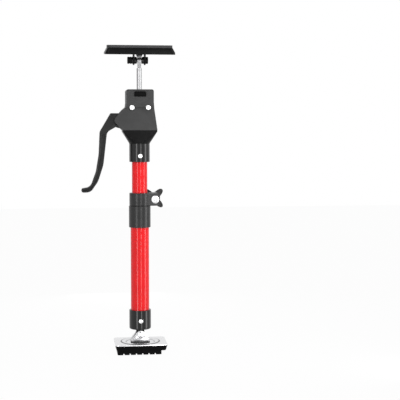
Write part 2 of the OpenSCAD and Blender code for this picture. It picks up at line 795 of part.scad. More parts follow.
collar_r = collar_d / 2;
lever_gap = free_gap + seam_gap;
cheek_in = lever_w / 2 + lever_gap;
cheek_out = cheek_in + cheek_t;
cheek_clear = cover_wall + 2 * free_gap;
base_x = head_base_w / 2;
top_x = head_w / 2;
low_y = head_low_d / 2;
top_y = head_top_d / 2;
rivet_x = cover_rivet_span / 2;
cover_rivet_d = 4.4;
cover_rivet_head_d = 7.3;
cover_rivet_head_t = 1.4;

// Heights up the covers, as shares of their height, and places across the nose
rivet_level_share = 0.556;
band_low_share = 0.54;
band_top_share = 0.675;
seat_level_share = 0.684;
pivot_level_share = 0.2355;
z_rivet = z_head + rivet_level_share * head_h;
z_seat = z_head + seat_level_share * head_h;
z_lever = z_head + pivot_level_share * head_h;

// Corners of the covers in the front view, anticlockwise from the lower left:
// across as shares of the base's half width or the nose's reach, up as shares of the height
nose_round_share = 0.07;
head_outline = [
    [-base_x, z_head, 0],
    [base_x, z_head, 0],
    [top_x + 0.02 * head_w, z_head + band_low_share * head_h, 0],
    [top_x, z_head + band_top_share * head_h, 0],
    [top_x, z_head_top, head_round_r],
    [-top_x, z_head_top, head_round_r],
    [-top_x, z_head + band_top_share * head_h, 0],
    [-top_x - 0.02 * head_w, z_head + 0.57 * head_h, 0],
    [-0.69 * nose_reach, z_head + 0.485 * head_h, 0],
    [-nose_reach, z_head + 0.235 * head_h, nose_round_share * head_h],
    [-0.74 * nose_reach, z_head + 0.05 * head_h, 0]];

funnel_lip_h = 2.2;
module head_socket() {
    collar_bore_r = upper_tube_r + seat_gap;
    rim = collar_r / 20;
    pocket_z = z_bush_flange;
    color([0.08, 0.08, 0.08]) difference() {
        union() {
            rotate_extrude() polygon(rounded([[0, z_collar, 0], [collar_r, z_collar, rim],
                [collar_r, z_collar_top + over, 0], [0, z_collar_top + over, 0]]));
            hull() {
                translate([0, 0, z_collar_top]) cylinder(r = collar_r, h = rim, $fn = round_fn);
                translate([0, 0, z_head - funnel_lip_h]) linear_extrude(rim)
                    rounded_rect(head_base_w, head_low_d, head_round_r, $fn = hull_fn);
            }
            translate([0, 0, z_head - funnel_lip_h]) linear_extrude(funnel_lip_h - seam_gap)
                rounded_rect(head_base_w, head_low_d, head_round_r, $fn = hull_fn);
            for (side = [-1, 1]) plate_y(side > 0 ? cheek_in : -cheek_out,
                                         side > 0 ? cheek_out : -cheek_in)
                intersection() {
                    polygon(rounded(inset(head_outline, cheek_clear)));
                    translate([-nose_reach, z_head]) square([nose_reach + rivet_x + cover_rivet_d,
                        z_seat - seam_gap - z_head]);
                }
            // Feet of the cheeks, which the inset outline leaves above the funnel
            for (side = [-1, 1]) translate([-base_x + cheek_clear,
                    side > 0 ? cheek_in : -cheek_out, z_head - over])
                cube([base_x - cheek_clear + rivet_x + cover_rivet_d, cheek_t,
                      cheek_clear + 2 * over]);
        }
        // Seat of the upper tube
        translate([0, 0, z_collar - over])
            cylinder(r = collar_bore_r, h = z_upper_tube_top + seam_gap - z_collar + over);
        // Way of the rod, the seat of its bush and the pocket above
        translate([0, 0, z_collar]) cylinder(r = rod_r + 2 * free_gap, h = head_h);
        translate([0, 0, z_rod_bush]) cylinder(r = rod_bush_r + seat_gap, h = head_h);
        translate([-cheek_in - cheek_t, -cheek_in, pocket_z])
            cube([2 * (cheek_in + cheek_t), 2 * cheek_in, head_h]);
        translate([-lever_pivot_x, -cheek_out - over, z_lever])
            rod_y(lever_pin_d / 2 + seat_gap, 2 * (cheek_out + over));
        for (x = [-rivet_x, rivet_x]) translate([x, -cheek_out - over, z_rivet])
            rod_y(cover_rivet_d / 2 + seat_gap, 2 * (cheek_out + over));
        wall_rivet_holes(z_collar_rivet);
    }
}

module socket_rivets() {
    color([0.9, 0.9, 0.9]) for (turn = [0, 180]) rotate([0, 0, turn])
        wall_rivet(collar_r, upper_bore_r, z_collar_rivet);
}

rod_bush_r = rod_r + 2.6;
rod_bush_h = 8;
rod_bush_flange_t = 1.8;
z_rod_bush = z_collar_top + 2 * socket_floor_t;
z_bush_flange = z_rod_bush + rod_bush_h;

module lower_rod_bush() {
    bore_r = rod_r + run_gap;
    color([0.85, 0.85, 0.8]) {
        tube(rod_bush_r, bore_r, z_rod_bush, rod_bush_h);
        tube(cheek_in - seam_gap, bore_r, z_bush_flange, rod_bush_flange_t);
    }
}

// Covers: two shells that meet in the plane of the lever

// Side view of the front cover's form, or of its hollow when t is the wall:
// the upper part rounds under to the lower part along a quarter of an ellipse
z_band = z_head + band_low_share * head_h;
band_h = (band_top_share - band_low_share) * head_h;
function band_arc(angle) = [-low_y - (top_y - low_y) * cos(angle), z_band + band_h * (1 - sin(angle))];
function cover_side(t) = concat(
    [[over, z_head - over], [over, z_head_top - t], [t - top_y + head_round_r / 2, z_head_top - t],
     [t - top_y, z_head_top - t - head_round_r / 2]],
    [for (i = [0:corner_steps]) band_arc(90 * i / corner_steps) + [t, 0]],
    [[t - low_y, z_head - over]]);

// The form of the front cover with its walls moved in by t
module cover_form(t) {
    intersection() {
        plate_y(-top_y, over) polygon(rounded(inset(head_outline, t)));
        plate_x(-nose_reach - over, nose_reach) polygon(cover_side(t));
    }
}

tab_slot_low_share = 0.822;
tab_slot_high_share = 0.93;
z_slot = z_head + tab_slot_low_share * head_h;
z_slot_top = z_head + tab_slot_high_share * head_h;
gland_r = rod_r + 2.2;
gland_flange_r = rod_r + 4.6;
gland_flange_t = 2.4;
z_gland = z_head_top - cover_wall - gland_flange_t - seam_gap;

module cover_shell(slotted) {
    boss_r = 1.1 * cover_rivet_d;
    lever_top_share = 0.45;
    lever_foot_share = 0.04;
    color([0.13, 0.13, 0.13]) difference() {
        union() {
            difference() {
                cover_form(0);
                cover_form(cover_wall);
                // The shell is open below
                translate([cover_wall - base_x, cover_wall - low_y, z_head - over])
                    cube([head_base_w - 2 * cover_wall, low_y, cover_wall + 2 * over]);
            }
            // Bosses that stand on the cheeks and end as raised seats of the rivets
            for (x = [-rivet_x, rivet_x]) translate([x, -rivet_seat, z_rivet])
                rod_y(boss_r, rivet_seat - cheek_out - seam_gap);
            // Ledge that holds down the seat plate
            translate([-rivet_x, -top_y + cover_wall / 2, z_seat + seat_plate_t + seam_gap])
                cube([2 * rivet_x, top_y - cover_wall / 2 - cheek_in, cover_wall]);
        }
        // The two shells meet with a thin seam
        translate([-nose_reach - over, -seam_gap / 2, z_head - over])
            cube([2 * nose_reach, 2 * over, head_h + 2 * over]);
        // Gap for the lever through the nose
        translate([-nose_reach - over, -cheek_in, z_head + lever_foot_share * head_h])
            cube([nose_reach + over - top_x, 2 * cheek_in,
                  (lever_top_share - lever_foot_share) * head_h]);
        translate([0, 0, z_seat]) cylinder(r = gland_r + seam_gap, h = head_h);
        // Holes of the rivets, and the flat seats of their heads
        for (x = [-rivet_x, rivet_x]) translate([x, -top_y - over, z_rivet]) {
            rod_y(cover_rivet_d / 2 + seat_gap, top_y + over);
            rod_y(boss_r, top_y + over - rivet_seat);
        }
        if (slotted) translate([-tab_slot_w / 2, -top_y - over, z_slot])
            cube([tab_slot_w, cover_wall + 2 * over, z_slot_top - z_slot]);
    }
}

module front_cover() {
    cover_shell(true);
}

module back_cover() {
    mirror([0, 1, 0]) cover_shell(false);
}

module cover_rivets() {
    color([0.9, 0.9, 0.9]) for (x = [-rivet_x, rivet_x]) translate([x, 0, z_rivet]) {
        translate([0, -rivet_seat, 0]) rod_y(cover_rivet_d / 2, 2 * rivet_seat);
        for (turn = [0, 180]) rotate([0, 0, turn]) translate([0, -rivet_seat, 0])
            rotate([90, 0, 0]) dome_head(cover_rivet_head_d, cover_rivet_head_t);
    }
}

// The rivets' heads sit a little in from the upper part's face
rivet_seat = top_y - cover_wall / 4;

module rod_gland() {
    bore_r = rod_r + run_gap;
    color([0.1, 0.1, 0.1]) {
        tube(gland_flange_r, bore_r, z_gland, gland_flange_t);
        tube(gland_r, bore_r, z_gland + gland_flange_t, cover_wall + 3 * seam_gap);
    }
}

seat_plate_t = 2.4;
module seat_plate() {
    color([0.7, 0.7, 0.72]) difference() {
        slab(2 * (rivet_x + cover_rivet_d / 2), 2 * cheek_out, cheek_t / 2, z_seat, seat_plate_t);
        translate([0, 0, z_seat - over])
            cylinder(r = rod_r + 2 * free_gap, h = seat_plate_t + 2 * over);
    }
}

module lever_pin() {
    end = cheek_out + seam_gap;
    color([0.8, 0.8, 0.82]) translate([-lever_pivot_x, 0, z_lever]) {
        translate([0, -end, 0]) rod_y(lever_pin_d / 2, 2 * end);
        for (turn = [0, 180]) rotate([0, 0, turn]) translate([0, -end, 0])
            rotate([90, 0, 0]) cylinder(r = 0.75 * lever_pin_d, h = lever_pin_d / 4);
    }
}

// Lever: hub, finger under the drive plate, and the curved grip

// Corners of the grip's front view from the pivot, anticlockwise from the top of
// the hub: across as shares of the reach, down as shares of the drop, and the
// rounding as a share of the reach
grip_shares = [
    [0.03, 0.107, 0], [-0.235, 0.107, 0.03], [-0.518, -0.159, 0.17], [-0.547, -0.489, 1.2],
    [-0.623, -0.735, 0.6], [-0.769, -0.957, 0.19], [-1, -0.974, 0.052],
    [-1, -1.032, 0.052], [-0.762, -1.03, 0.2], [-0.566, -0.872, 0.5], [-0.427, -0.637, 1],
    [-0.328, -0.162, 0.16], [0.03, -0.05, 0]];
finger_reach_share = 0.333;
finger_r = 3.2;
finger_rise_share = 0.057;

// Place of the finger's round tip, from the pivot
finger_x = finger_reach_share * lever_reach;
finger_z = finger_rise_share * lever_reach;

module lever_outline(t) {
    corners = [for (p = grip_shares)
        [p.x * lever_reach, p.y > 0 ? p.y * lever_hub_r / 0.107 : p.y * lever_drop,
         p.z * lever_reach]];
    polygon(rounded(inset(corners, t)));
}

module lever() {
    web = lever_w - 2 * lever_hollow;
    rib = lever_hub_r / 5;
    hollow_top_share = 0.19;
    color([0.12, 0.12, 0.12]) translate([-lever_pivot_x, 0, z_lever]) difference() {
        plate_y(-lever_w / 2, lever_w / 2) union() {
            circle(r = lever_hub_r);
            lever_outline(0);
            translate([finger_x, finger_z]) circle(r = finger_r);
            polygon([[0, -lever_hub_r / 2], [finger_x, finger_z - finger_r],
                [finger_x, finger_z + finger_r], [0, finger_z + finger_r]]);
        }
        // Hollow along each side of the grip
        for (turn = [0, 1]) mirror([0, turn, 0])
            plate_y(-lever_w / 2 - over, -web / 2) intersection() {
                lever_outline(rib);
                translate([-lever_reach, -2 * lever_drop])
                    square([lever_reach, (2 - hollow_top_share) * lever_drop]);
            }
        translate([0, -lever_w, 0]) rod_y(lever_pin_d / 2 + run_gap, 2 * lever_w);
    }
}

// Friction plates on the rod and their springs

z_drive = z_lever + finger_z + finger_r + free_gap + seam_gap;
drive_left = lever_pivot_x - 0.25 * lever_reach;
drive_right = rod_r + 2 * drive_plate_t;

module drive_plate() {
    color([0.65, 0.65, 0.67]) difference() {
        translate([-drive_left, -lever_w / 2, z_drive])
            cube([drive_left + drive_right, lever_w, drive_plate_t]);
        translate([0, 0, z_drive - over])
            cylinder(r = rod_r + bite_gap, h = drive_plate_t + 2 * over);
    }
}

module drive_spring() {
    z_foot = z_drive + drive_plate_t + seam_gap;
    color([0.75, 0.75, 0.77]) coil_spring(rod_r + free_gap + drive_wire, drive_wire, z_foot,
        z_seat - seam_gap - z_foot, 5);
}

// The lock plate hangs on the lower edge of the slot and its inner end leans down
lock_lean = 4;
lock_w = tab_slot_w - 4 * free_gap;
tab_out = 7.5;
tab_rise = 5.2;
y_fulcrum = top_y - cover_wall / 2;
bead_r = 0.75 * lock_plate_t;
z_fulcrum = z_slot + free_gap + bead_r;
lock_tail = rod_r + 8.6;

module lock_plate() {
    // Side view from the inner end out to the tab, before the plate is leaned
    path = [[y_fulcrum + lock_tail, -lock_plate_t / 2], [-cover_wall, -lock_plate_t / 2],
        [-tab_out, tab_rise - lock_plate_t / 2]];
    tab_corner_r = 0.6 * tab_out;
    color([0.1, 0.1, 0.1])
        translate([0, -y_fulcrum, z_fulcrum]) rotate([-lock_lean, 0, 0]) difference() {
            union() {
                intersection() {
                    plate_x(-lock_w / 2, lock_w / 2) polygon(bent_sheet(path, lock_plate_t));
                    // Plan view, with the tab's outer corners rounded
                    translate([0, 0, -lock_w]) linear_extrude(2 * lock_w) polygon(rounded([
                        [-lock_w / 2, -tab_out - cover_wall, tab_corner_r],
                        [lock_w / 2, -tab_out - cover_wall, tab_corner_r],
                        [lock_w / 2, 2 * top_y, 0], [-lock_w / 2, 2 * top_y, 0]]));
                }
                // Round bead that the plate rocks on in the slot
                translate([-lock_w / 2, 0, 0]) rod_x(bead_r, lock_w);
            }
            translate([0, y_fulcrum, -lock_w])
                cylinder(r = rod_r + bite_gap, h = 2 * lock_w);
        }
}

module lock_spring() {
    z_foot = z_fulcrum + lock_plate_t / 2 / cos(lock_lean)
        - (y_fulcrum - rod_r - lock_wire) * tan(lock_lean) + seam_gap;
    color([0.75, 0.75, 0.77]) coil_spring(rod_r + free_gap + lock_wire, lock_wire, z_foot,
        z_gland - seam_gap - z_foot, 2.5);
}

// Rod with its lower guide, and the flattened eye on top

rod_tail = 244;
z_rod = z_tilt - rod_tail;
rod_guide_h = 14;
rod_guide_rise = 1.6;

module push_rod() {
    blade_h = 2.4 * eye_r;
    flare_x = 0.36 * bracket_gap;
    flare_y = 0.8 * eye_r;
    flare_low = 0.76 * eye_r;
    flare_top = 2 * eye_r;
    flare_edge = eye_r / 4;
    // The root of the blade keeps inside the round rod
    root_y = 0.8 * sqrt(rod_r * rod_r - eye_t * eye_t / 4);
    color([0.88, 0.88, 0.9]) difference() {
        union() {
            translate([0, 0, z_rod]) cylinder(r = rod_r, h = rod_tail - blade_h);
            translate([-eye_t / 2, 0, z_tilt]) rod_x(eye_r, eye_t);
            // Flared head of the eye, between the bracket's ears
            plate_y(-flare_y, flare_y) polygon([[-eye_t / 2, z_tilt + flare_low],
                [eye_t / 2, z_tilt + flare_low], [flare_x, z_tilt + flare_top - flare_edge],
                [flare_x, z_tilt + flare_top], [-flare_x, z_tilt + flare_top],
                [-flare_x, z_tilt + flare_top - flare_edge]]);
            plate_x(-eye_t / 2, eye_t / 2) polygon([
                [-root_y, z_tilt - blade_h - eye_t], [root_y, z_tilt - blade_h - eye_t],
                [root_y, z_tilt - blade_h], [rod_r, z_tilt - blade_h], [rod_r, z_tilt],
                [-rod_r, z_tilt], [-rod_r, z_tilt - blade_h], [-root_y, z_tilt - blade_h]]);
        }
        translate([-eye_t, 0, z_tilt]) rod_x(tilt_bolt_d / 2 + run_gap, 2 * eye_t);
        translate([0, 0, z_rod - over]) cylinder(d = end_screw_d + 2 * seat_gap,
            h = 2 * end_screw_d + over);
    }
}

module rod_guide() {
    color([0.85, 0.85, 0.8])
        tube(upper_bore_r - run_gap, rod_r + run_gap, z_rod + rod_guide_rise, rod_guide_h);
}

// Ring pressed on the rod that keeps the guide from moving up
module rod_clip() {
    color([0.7, 0.7, 0.72]) tube(1.4 * rod_r, rod_r + seat_gap,
        z_rod + rod_guide_rise + rod_guide_h + free_gap, clip_t);
}

end_screw_d = 4;
module rod_end_screw() {
    head_t = end_screw_d / 2;
    color([0.7, 0.7, 0.72]) {
        translate([0, 0, z_rod - seam_gap - head_t]) cylinder(r = 1.6 * rod_r, h = head_t);
        translate([0, 0, z_rod - seam_gap - over])
            cylinder(d = end_screw_d, h = 2 * end_screw_d);
    }
}

// Top plate on its tilting bracket

plate_top_w = plate_w - 2 * skirt_flare;
plate_top_d = plate_d - 2 * skirt_flare;
plate_top_r = plate_corner_r - skirt_flare / 2;

// Leans what hangs together with the top plate about the tilt axis
module leaned() {
    translate([0, 0, z_tilt]) rotate([plate_lean, 0, 0]) translate([0, 0, -z_tilt]) children();
}

// A solid flared block with an upright lip at its foot, moved in by t all round
module tray_form(t, z, z_end) {
    edge = top_sheet_t / 20;
    translate([0, 0, z]) linear_extrude(lip_h + z_rim - z)
        rounded_rect(plate_w - 2 * t, plate_d - 2 * t, plate_corner_r - t, $fn = hull_fn);
    hull() {
        translate([0, 0, z_rim + lip_h - edge]) linear_extrude(edge)
            rounded_rect(plate_w - 2 * t, plate_d - 2 * t, plate_corner_r - t, $fn = hull_fn);
        translate([0, 0, z_end - edge]) linear_extrude(edge)
            rounded_rect(plate_top_w - 2 * t, plate_top_d - 2 * t, plate_top_r - t / 2,
                $fn = hull_fn);
    }
}

module top_plate() {
    color([0.09, 0.09, 0.09]) leaned() difference() {
        tray_form(0, z_rim, z_deck);
        tray_form(top_sheet_t, z_rim - over, z_deck_under);
        translate([0, 0, z_deck_under - over])
            cylinder(d = bracket_rivet_d + 2 * seat_gap, h = top_sheet_t + 2 * over);
    }
}

bracket_rivet_d = 6;
bracket_rivet_head_d = 11;
bracket_rivet_head_t = 2.6;
bracket_rivet_top_t = 1.2;

module top_pad() {
    pad_inset = 0.6;
    round_share = 0.3;
    color([0.2, 0.2, 0.2]) leaned() difference() {
        slab(plate_top_w - 2 * pad_inset, plate_top_d - 2 * pad_inset, plate_top_r, z_deck,
            top_pad_t);
        translate([0, 0, z_deck - over])
            cylinder(r = 0.65 * bracket_rivet_head_d, h = bracket_rivet_top_t + seam_gap + over);
    }
}

bracket_x = bracket_gap / 2 + bracket_t;
bracket_base_d = 1.6 * bracket_d;
bracket_ear_r = bracket_d / 2;

// Side view of the bracket: a round ear widening to the base
module bracket_side() {
    translate([0, z_tilt]) circle(r = bracket_ear_r);
    polygon([[-bracket_ear_r, z_tilt], [bracket_ear_r, z_tilt],
        [bracket_ear_r, z_bracket - bracket_t], [bracket_base_d / 2, z_bracket],
        [bracket_base_d / 2, z_deck_under], [-bracket_base_d / 2, z_deck_under],
        [-bracket_base_d / 2, z_bracket], [-bracket_ear_r, z_bracket - bracket_t]]);
}

module top_bracket() {
    z_low = z_tilt - bracket_ear_r - over;
    section = bent_sheet([[-bracket_x, z_low], [-bracket_x, z_deck_under],
        [bracket_x, z_deck_under], [bracket_x, z_low]], bracket_t);
    color([0.08, 0.08, 0.08]) leaned() difference() {
        intersection() {
            plate_y(-bracket_base_d / 2, bracket_base_d / 2) polygon(section);
            plate_x(-bracket_x, bracket_x) bracket_side();
        }
        translate([-bracket_x - over, 0, z_tilt])
            rod_x(tilt_bolt_d / 2 + seat_gap, 2 * (bracket_x + over));
        translate([0, 0, z_bracket - over])
            cylinder(d = bracket_rivet_d + 2 * seat_gap, h = bracket_t + 2 * over);
    }
}

module bracket_rivet() {
    color([0.85, 0.85, 0.87]) leaned() {
        translate([0, 0, z_bracket]) cylinder(d = bracket_rivet_d, h = z_deck - z_bracket);
        translate([0, 0, z_bracket]) mirror([0, 0, 1])
            dome_head(bracket_rivet_head_d, bracket_rivet_head_t);
        translate([0, 0, z_deck]) cylinder(d = bracket_rivet_head_d, h = bracket_rivet_top_t);
    }
}

// Bolt along the tilt axis with its bushes, washer and nuts

tilt_left = bracket_x + tilt_washer_t + 2 * tilt_nut_t;
tilt_head_r = tilt_head_d / 2;

module tilt_bolt() {
    socket_d = 0.45 * tilt_head_d;
    color([0.06, 0.06, 0.06]) translate([0, 0, z_tilt]) difference() {
        union() {
            translate([-tilt_left, 0, 0]) rod_x(tilt_bolt_d / 2, tilt_left + bracket_x);
            translate([bracket_x, 0, 0]) rotate([0, 90, 0]) rotate_extrude()
                polygon(rounded([[0, 0, 0], [tilt_head_r, 0, 0],
                    [tilt_head_r, tilt_bolt_head_t, tilt_bolt_head_t / 4],
                    [0, tilt_bolt_head_t, 0]]));
        }
        translate([bracket_x + tilt_bolt_head_t / 2, 0, 0]) rotate([0, 90, 0])
            cylinder(d = socket_d, h = tilt_bolt_head_t, $fn = 6);
    }
}

module spacer_bushes() {
    bush_t = bracket_gap / 2 - eye_t / 2 - free_gap;
    round_r = bush_t / 2;
    color([0.06, 0.06, 0.06]) for (turn = [0, 180]) rotate([0, 0, turn])
        translate([bracket_gap / 2, 0, z_tilt]) rotate([0, -90, 0]) rotate_extrude()
            polygon(rounded([[tilt_bolt_d / 2 + seat_gap, 0, 0], [tilt_head_r, 0, 0],
                [tilt_head_r, bush_t, round_r], [tilt_bolt_d / 2 + seat_gap, bush_t, 0]]));
}

module tilt_washer() {
    color([0.06, 0.06, 0.06]) translate([-bracket_x - tilt_washer_t, 0, z_tilt]) difference() {
        rod_x(tilt_head_r, tilt_washer_t - seam_gap);
        translate([-over, 0, 0]) rod_x(tilt_bolt_d / 2 + seat_gap, tilt_washer_t + 2 * over);
    }
}

module tilt_nuts() {
    color([0.06, 0.06, 0.06]) for (i = [1, 2])
        translate([-bracket_x - tilt_washer_t - i * tilt_nut_t, 0, z_tilt]) rotate([0, 90, 0])
            hex_nut(tilt_head_d, tilt_nut_t - seam_gap, tilt_bolt_d + 2 * seat_gap);
}

foot_pad();
foot_plate();
yoke_washer();
foot_yoke();
yoke_rivets();
pivot_pin();
pivot_washers();
swivel_stem();
stem_washer();
stem_nut();
end_cap();
end_cap_rivets();
lower_tube();
coupler_sleeve();
guide_bush();
clamp_ring();
clamp_bolt();
clamp_washer();
clamp_knob();
knob_insert();
tube_end_ring();
tube_end_clip();
tube_end_plug();
upper_tube();
head_socket();
socket_rivets();
lower_rod_bush();
seat_plate();
drive_spring();
lock_spring();
rod_gland();
front_cover();
back_cover();
cover_rivets();
lever_pin();
lever();
drive_plate();
lock_plate();
rod_guide();
rod_clip();
push_rod();
rod_end_screw();
top_bracket();
bracket_rivet();
top_plate();
top_pad();
tilt_bolt();
spacer_bushes();
tilt_washer();
tilt_nuts();
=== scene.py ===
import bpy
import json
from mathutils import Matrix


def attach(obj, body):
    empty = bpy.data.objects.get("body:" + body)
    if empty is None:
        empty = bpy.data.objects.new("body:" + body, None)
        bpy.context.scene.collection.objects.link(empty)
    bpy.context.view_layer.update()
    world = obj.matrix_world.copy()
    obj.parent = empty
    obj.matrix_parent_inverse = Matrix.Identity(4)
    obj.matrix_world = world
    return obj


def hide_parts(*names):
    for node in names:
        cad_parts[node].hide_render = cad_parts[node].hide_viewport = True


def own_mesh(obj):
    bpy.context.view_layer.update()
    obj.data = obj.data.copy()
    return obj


bl_info = {
    "name": "Telescopic Support Pole",
    "version": (1, 0, 0),
    "blender": (4, 5, 0),
    "location": "View3D > Sidebar > Support Pole",
    "description": "Dresses a telescopic support pole with its finishes, softened edges and studio",
    "category": "Object",
}

import json
import math

import bmesh
import bpy
from mathutils import Vector

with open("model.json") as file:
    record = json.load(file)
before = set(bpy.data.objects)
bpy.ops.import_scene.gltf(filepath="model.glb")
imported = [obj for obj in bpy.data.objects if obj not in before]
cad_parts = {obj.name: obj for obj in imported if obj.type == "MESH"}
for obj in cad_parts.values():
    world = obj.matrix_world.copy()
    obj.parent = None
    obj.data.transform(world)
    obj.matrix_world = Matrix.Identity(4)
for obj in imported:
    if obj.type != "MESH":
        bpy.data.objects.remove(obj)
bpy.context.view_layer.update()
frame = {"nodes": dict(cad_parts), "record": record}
SLOT = {part["node"]: part["material_slot"] for part in frame["record"]["subparts"]}
MM = 0.001
UP = (0.0, 0.0, 1.0)

# Where the finishes change, on the pieces' own coordinates; the foot's radii bound the painted
# shade in the creases of the plate's bead
FOOT_CREASE_SHADE_RADII = (23.4 * MM, 31.6 * MM)
FUNNEL_HEIGHTS = (339.5 * MM, 362.0 * MM)

# Rounded edges that have no setting in the panel
PAD_EDGE = 0.0005
FOOT_PAD_EDGE = 0.0006
CLAMP_EDGE = 0.0007
KNOB_EDGE = 0.0012

# How meshes are welded, cleaned and smoothed, with angles in degrees
WELD = 1e-6
FLAT_ANGLE = 0.4
BEVEL_ANGLE = 28.0
BEVEL_STEPS = 3
SHARP_ANGLE = 40.0
COIL_SHARP_ANGLE = 70.0

# The studio: turns are degrees round the pole from the camera's side
WHITE = (1.0, 1.0, 1.0)
WORLD_FILL = ((0.97, 0.98, 1.0), 0.36)
FLOOR_HALF = 3.0
FLOOR_LEVEL = -0.0002
FLOOR_GLOW_SHARE = 0.97
FLOOR_PLAIN = (0.6, 0.6, 0.6)
CAMERA_TURN = -94.0
STRIP_LENGTH = 1.06
STRIP_LEVEL = 0.38
# name: turn, distance, width, power, whether glossy pieces mirror it
STRIPS = {
    "left_strip": (-32.0, 0.45, 0.095, 1.59, True),
    "front_strip": (16.0, 0.45, 0.064, 1.12, True),
    "right_strip": (70.0, 0.45, 0.15, 2.36, True),
    "back_strip": (185.0, 0.6, 0.2, 3.6, False),
}
EYE = (-0.118, -1.696, 0.3685)
AIM_LEVEL = 0.2472
AIM_TO_RIGHT = 0.0979
SENSOR_WIDTH = 36.0
LENS = 94.5
CLIP_START = 0.01


# Shader graphs


class Wire:
    """One value in a shader graph, on which Python's operators add Math nodes."""

    def __init__(self, graph, socket):
        self.graph = graph
        self.socket = socket

    def math(self, operation, *values, clamp=False):
        return self.graph.add(
            "ShaderNodeMath", {"operation": operation, "use_clamp": clamp}, *values
        )

    def __add__(self, other):
        return self.math("ADD", self, other)

    __radd__ = __add__

    def __mul__(self, other):
        return self.math("MULTIPLY", self, other)

    __rmul__ = __mul__

    def __sub__(self, other):
        return self.math("SUBTRACT", self, other)

    def __rsub__(self, other):
        return self.math("SUBTRACT", other, self)

    def __pow__(self, other):
        return self.math("POWER", self, other)

    def clamped(self):
        return self.math("ADD", self, 0.0, clamp=True)

    def rise(self, low, high):
        """Rises smoothly from 0 at low to 1 at high."""
        return self.graph.add(
            "ShaderNodeMapRange", {"interpolation_type": "SMOOTHSTEP"}, self, low, high, 0.0, 1.0
        )


class NodeGraph:
    """Shader nodes that are added one by one from their type, settings and inputs."""

    def __init__(self, tree, output):
        self.tree = tree
        self.tree.nodes.clear()
        self.output = self.tree.nodes.new(output)

    def plug(self, node, key, value):
        socket = node.inputs[key]
        if isinstance(value, Wire):
            self.tree.links.new(value.socket, socket)
        elif isinstance(value, (tuple, list)) and len(value) == 3:
            length = len(socket.default_value)
            socket.default_value = tuple(value) + (1.0,) * (length - 3)
        else:
            socket.default_value = value

    def add(self, kind, settings=None, *values, out=0, **named):
        """The chosen output of a new node, after its settings and inputs are set."""
        node = self.tree.nodes.new(kind)
        for key, value in (settings or {}).items():
            setattr(node, key, value)
        for index, value in enumerate(values):
            self.plug(node, index, value)
        for key, value in named.items():
            self.plug(node, key.replace("_", " "), value)
        return Wire(self, node.outputs[out])

    def show(self, shader):
        """Makes a shader the one that is rendered."""
        self.tree.links.new(shader.socket, self.output.inputs["Surface"])


class WorldGraph(NodeGraph):
    """The nodes of a world."""

    def __init__(self, world):
        super().__init__(world.node_tree, "ShaderNodeOutputWorld")


class Graph(NodeGraph):
    """The nodes of a material, with the textures and the shader that the finishes use."""

    def __init__(self, name):
        self.material = bpy.data.materials.new(name)
        self.material.use_nodes = True
        super().__init__(self.material.node_tree, "ShaderNodeOutputMaterial")

    def place(self, scale=(1.0, 1.0, 1.0)):
        """Object coordinates, stretched by scale."""
        source = self.add("ShaderNodeTexCoord", {}, out="Object")
        return self.add("ShaderNodeMapping", {}, source, Scale=scale)

    def noise(self, place, scale, detail=3.0, rough=0.5):
        return self.add(
            "ShaderNodeTexNoise", {}, Vector=place, Scale=scale, Detail=detail, Roughness=rough
        )

    def part(self, place, axis):
        """One coordinate, X, Y or Z, of a place."""
        return self.add("ShaderNodeSeparateXYZ", {}, place, out=axis)

    def mix_colour(self, share, first, second):
        """The two colours mixed by share."""
        node = self.tree.nodes.new("ShaderNodeMix")
        node.data_type = "RGBA"
        self.plug(node, 0, share)
        self.plug(node, 6, first)
        self.plug(node, 7, second)
        return Wire(self, node.outputs[2])

    def bump(self, height, strength, distance):
        return self.add(
            "ShaderNodeBump", {}, Height=height, Strength=strength, Distance=distance
        )

    def finish(self, colour, roughness, normal, metallic=0.0, coat=0.0, specular=0.5):
        """Closes the graph with one Principled shader."""
        shader = self.add(
            "ShaderNodeBsdfPrincipled",
            {},
            Base_Color=colour,
            Roughness=roughness,
            Metallic=metallic,
            Coat_Weight=coat,
            Coat_Roughness=0.05,
            Specular_IOR_Level=specular,
            Normal=normal,
        )
        self.show(shader)
        return self.material


def moulded_plastic(name, colour, roughness, grain, depth, gleam=0.22, coat=0.0, dull=None):
    """Moulded plastic: a fine grain, faint flow marks and a little handling gloss.

    coat is the weight of a polished skin, which is missing between the two heights of dull.
    """
    graph = Graph(name)
    place = graph.place()
    fine = graph.noise(place, grain, 2.0)
    cloud = graph.noise(place, 60.0, 3.0)
    tint = graph.mix_colour(cloud.rise(0.35, 0.7), colour, [c * 1.15 + 0.001 for c in colour])
    gloss = roughness + 0.08 * (cloud - 0.5) + 0.04 * (fine - 0.5)
    if dull is not None:
        low, high = dull
        height = graph.part(place, "Z")
        fade = 1.5 * MM
        within = height.rise(low - fade, low) * (1.0 - height.rise(high, high + fade))
        coat = coat * (1.0 - within)
    return graph.finish(tint, gloss, graph.bump(fine, 0.2, depth), coat=coat, specular=gleam)


def powder_coat(name, colour, deep):
    """Glossy sprayed paint: a slight orange peel under a clear, hard top."""
    graph = Graph(name)
    place = graph.place()
    peel = graph.noise(place, 300.0, 1.0)
    cloud = graph.noise(place, 35.0, 2.0)
    tint = graph.mix_colour(cloud.rise(0.3, 0.75), colour, deep)
    gloss = 0.09 + 0.03 * (cloud - 0.5)
    return graph.finish(tint, gloss, graph.bump(peel, 0.04, 0.000008), specular=0.26)


def bright_metal(name, colour, roughness, streak, brushed=(1.0, 1.0, 1.0), depth=0.00001):
    """Plated or bare metal with fine marks drawn out along one direction."""
    graph = Graph(name)
    place = graph.place(brushed)
    marks = graph.noise(place, streak, 3.0, 0.6)
    cloud = graph.noise(graph.place(), 45.0, 2.0)
    tint = graph.mix_colour(cloud.rise(0.3, 0.8), colour, [c * 0.94 for c in colour])
    gloss = roughness + 0.06 * (marks - 0.5) + 0.04 * (cloud - 0.5)
    return graph.finish(tint, gloss.clamped(), graph.bump(marks, 0.06, depth), metallic=1.0)


